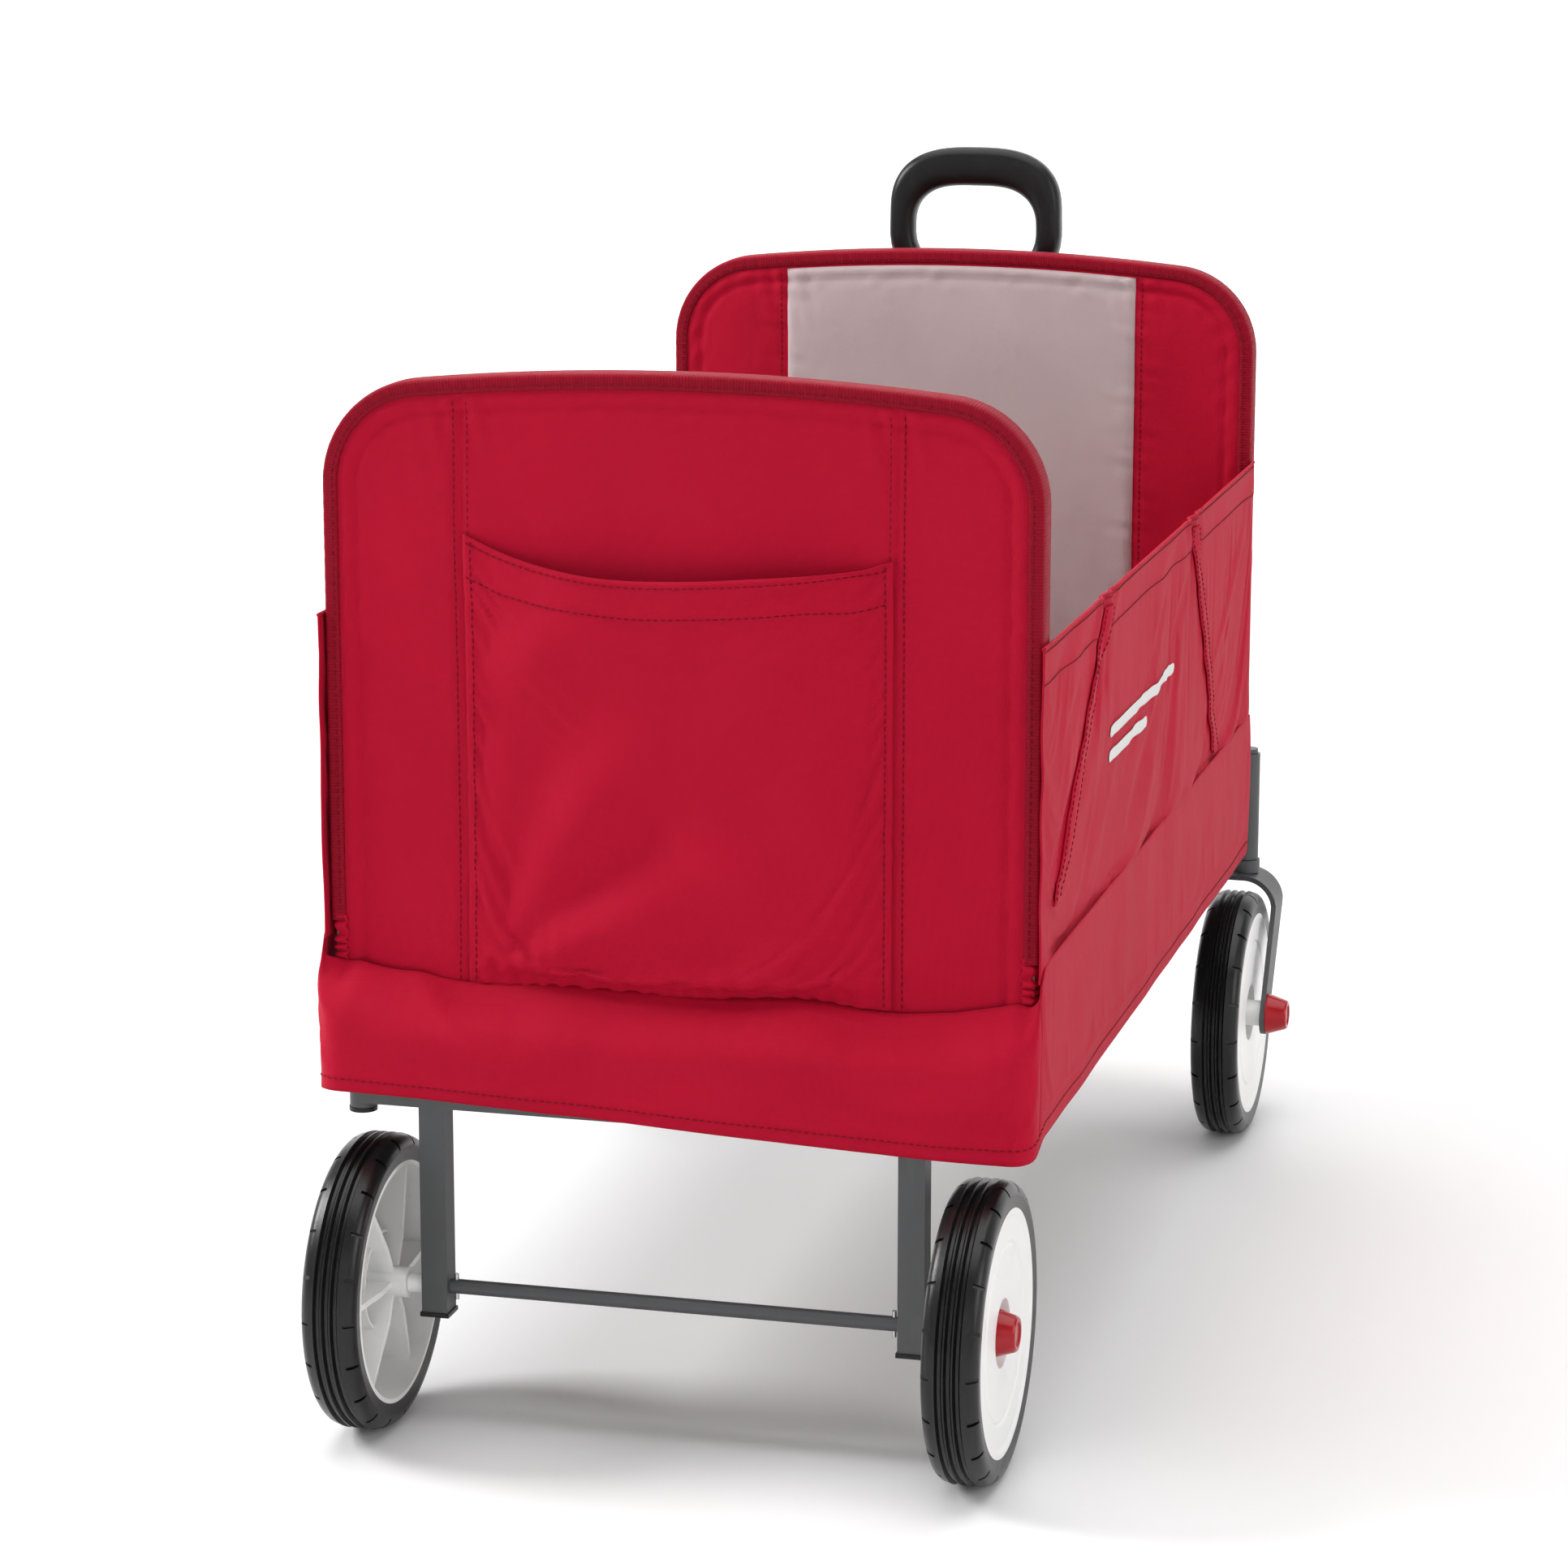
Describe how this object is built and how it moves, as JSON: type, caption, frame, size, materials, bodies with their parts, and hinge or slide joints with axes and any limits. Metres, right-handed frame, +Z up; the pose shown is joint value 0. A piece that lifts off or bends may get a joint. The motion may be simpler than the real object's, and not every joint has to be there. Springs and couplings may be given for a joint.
{
  "type": "wagon",
  "caption": "Folding fabric wagon on a steel frame with padded end panels, a rear pocket, moulded wheels, trailing front casters and a hinged pull handle.",
  "frame": {"origin": "on the ground, in the middle of the overall box", "axes": "+Y to the handle end, +X to the wagon's right, +Z up"},
  "size_m": [0.5724, 1.03, 0.797],
  "materials": {
    "red_fabric": "woven polyester, satin",
    "red_tape": "ribbed binding tape",
    "pale_lining": "light warm grey woven lining",
    "mat_fabric": "padded mat",
    "core_board": "padded panel core",
    "grey_steel": "dark grey satin powder coat",
    "bright_steel": "zinc plated",
    "white_plastic": "moulded, satin",
    "red_plastic": "moulded, glossy",
    "black_plastic": "satin",
    "black_tyre": "solid foam rubber"
  },
  "bodies": {
    "rear_end": {"rear_axle": "grey_steel", "rear_axle_clips": "bright_steel", "rear_binding": "red_tape", "rear_bushes": "white_plastic", "rear_core": "core_board", "rear_cover": "red_fabric", "rear_cross_tube": "grey_steel", "rear_fold_pins": "bright_steel", "rear_hoop": "grey_steel", "rear_hubcaps": "red_plastic", "rear_leg_caps": "black_plastic", "rear_leg_left": "grey_steel", "rear_leg_right": "grey_steel", "rear_lining": "pale_lining", "rear_pocket": "red_fabric", "rear_post_caps": "black_plastic", "rear_post_left": "grey_steel", "rear_post_right": "grey_steel", "rear_skirt": "red_fabric", "side_skirt_left": "red_fabric", "side_skirt_right": "red_fabric", "side_wall_left": "red_fabric", "side_wall_right": "red_fabric"},
    "floor_rear": {"floor_rear_frame": "grey_steel", "floor_rear_board": "core_board", "floor_rear_mat": "mat_fabric"},
    "floor_front": {"floor_front_frame": "grey_steel", "floor_front_board": "core_board", "floor_front_mat": "mat_fabric", "floor_middle_pins": "bright_steel", "pull_strap": "red_fabric"},
    "front_end": {"front_hoop": "grey_steel", "front_core": "core_board", "front_cover": "red_fabric", "front_binding": "red_tape", "front_lining": "pale_lining", "front_skirt": "red_fabric", "front_cross_tube": "grey_steel", "front_fold_pins": "bright_steel", "front_hoop_caps": "black_plastic", "head_tube_left": "grey_steel", "head_tube_right": "grey_steel", "handle_pin": "bright_steel"},
    "handle": {"handle_tube": "grey_steel", "handle_grip": "black_plastic"},
    "caster_left": {"caster_left_fork": "grey_steel", "caster_left_axle": "bright_steel", "caster_left_hubcap": "red_plastic"},
    "front_left_wheel": {"front_left_wheel_rim": "white_plastic", "front_left_wheel_tyre": "black_tyre"},
    "rear_left_wheel": {"rear_left_wheel_rim": "white_plastic", "rear_left_wheel_tyre": "black_tyre"},
    "caster_right": {"caster_right_fork": "grey_steel", "caster_right_axle": "bright_steel", "caster_right_hubcap": "red_plastic"},
    "front_right_wheel": {"front_right_wheel_rim": "white_plastic", "front_right_wheel_tyre": "black_tyre"},
    "rear_right_wheel": {"rear_right_wheel_rim": "white_plastic", "rear_right_wheel_tyre": "black_tyre"}
  },
  "joints": [
    {"name": "fold_rear", "type": "hinge", "parent": "rear_end", "child": "floor_rear", "pos_m": [0, -0.3505, 0.286], "axis": [1, 0, 0], "range_deg": [0, 70], "deforming": ["side_wall_left", "side_wall_right", "side_skirt_left", "side_skirt_right"]},
    {"name": "fold_middle", "type": "hinge", "parent": "floor_rear", "child": "floor_front", "pos_m": [0, 0.03175, 0.286], "axis": [-1, 0, 0], "range_deg": [0, 140]},
    {"name": "fold_front", "type": "hinge", "parent": "floor_front", "child": "front_end", "pos_m": [0, 0.414, 0.286], "axis": [1, 0, 0], "range_deg": [0, 70]},
    {"name": "handle_pivot", "type": "hinge", "parent": "front_end", "child": "handle", "pos_m": [0, 0.505, 0.24], "axis": [-1, 0, 0], "range_deg": [0, 110]},
    {"name": "caster_left_swivel", "type": "hinge", "parent": "front_end", "child": "caster_left", "pos_m": [-0.24, 0.472, 0.23], "axis": [0, 0, 1], "continuous": true},
    {"name": "front_left_wheel_spin", "type": "hinge", "parent": "caster_left", "child": "front_left_wheel", "pos_m": [-0.24, 0.415, 0.1], "axis": [1, 0, 0], "continuous": true},
    {"name": "rear_left_wheel_spin", "type": "hinge", "parent": "rear_end", "child": "rear_left_wheel", "pos_m": [-0.2085, -0.415, 0.1], "axis": [1, 0, 0], "continuous": true},
    {"name": "caster_right_swivel", "type": "hinge", "parent": "front_end", "child": "caster_right", "pos_m": [0.24, 0.472, 0.23], "axis": [0, 0, 1], "continuous": true},
    {"name": "front_right_wheel_spin", "type": "hinge", "parent": "caster_right", "child": "front_right_wheel", "pos_m": [0.24, 0.415, 0.1], "axis": [1, 0, 0], "continuous": true},
    {"name": "rear_right_wheel_spin", "type": "hinge", "parent": "rear_end", "child": "rear_right_wheel", "pos_m": [0.2085, -0.415, 0.1], "axis": [1, 0, 0], "continuous": true}
  ],
  "couplings": [
    {"joint": "fold_middle", "follows": "fold_rear", "ratio": 2},
    {"joint": "fold_front", "follows": "fold_rear", "ratio": 1}
  ]
}
